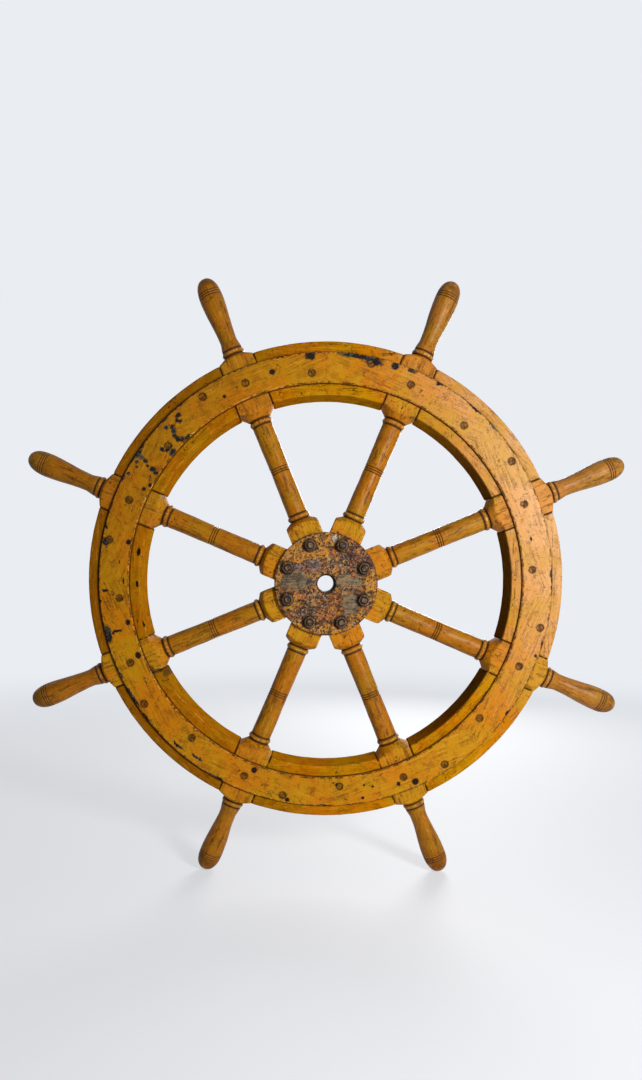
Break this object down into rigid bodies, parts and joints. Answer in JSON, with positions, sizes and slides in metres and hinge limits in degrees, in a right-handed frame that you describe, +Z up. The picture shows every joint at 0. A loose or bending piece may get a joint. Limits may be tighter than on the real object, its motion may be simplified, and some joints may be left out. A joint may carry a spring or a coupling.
{
  "type": "ship steering wheel",
  "caption": "Round wooden ship's steering wheel: turned spokes that end in hand grips, a built-up rim with facings on both sides, and a bolted iron hub with a round shaft bore.",
  "frame": {"origin": "centre of the shaft bore, half way through the thickness of the rim", "axes": "+Y along the shaft, from the front face of the wheel to its back; +Z up, midway between two spokes; +X to the right as seen from the front"},
  "size_m": [1.1306, 0.102, 1.1306],
  "materials": {
    "spoke_paint": "old mustard oil paint on turned wood, rubbed to a soft gloss, dark grime in the grooves",
    "felloe_paint": "old mustard oil paint on wood, satin, with dark joint lines",
    "facing_paint": "old mustard oil paint on wood, satin, chipped to blue-grey and near-black along the edges",
    "screw_paint": "painted over, dark in the slots",
    "hub_iron": "rusted and pitted iron with remains of mustard paint",
    "bolt_iron": "dark rusted iron"
  },
  "bodies": {
    "root": {"spoke_1": "spoke_paint", "spoke_2": "spoke_paint", "spoke_3": "spoke_paint", "spoke_4": "spoke_paint", "spoke_5": "spoke_paint", "spoke_6": "spoke_paint", "spoke_7": "spoke_paint", "spoke_8": "spoke_paint", "middle_felloe_1": "felloe_paint", "middle_felloe_2": "felloe_paint", "middle_felloe_3": "felloe_paint", "middle_felloe_4": "felloe_paint", "middle_felloe_5": "felloe_paint", "middle_felloe_6": "felloe_paint", "middle_felloe_7": "felloe_paint", "middle_felloe_8": "felloe_paint", "front_facing_1": "facing_paint", "front_facing_2": "facing_paint", "front_facing_3": "facing_paint", "front_facing_4": "facing_paint", "front_facing_5": "facing_paint", "front_facing_6": "facing_paint", "front_facing_7": "facing_paint", "front_facing_8": "facing_paint", "rear_facing_1": "facing_paint", "rear_facing_2": "facing_paint", "rear_facing_3": "facing_paint", "rear_facing_4": "facing_paint", "rear_facing_5": "facing_paint", "rear_facing_6": "facing_paint", "rear_facing_7": "facing_paint", "rear_facing_8": "facing_paint", "hub_front_plate": "hub_iron", "hub_rear_plate": "hub_iron", "hub_bush": "hub_iron", "hub_bolts": "bolt_iron", "hub_nuts": "bolt_iron", "front_facing_screws": "screw_paint", "rear_facing_screws": "screw_paint"}
  },
  "joints": []
}
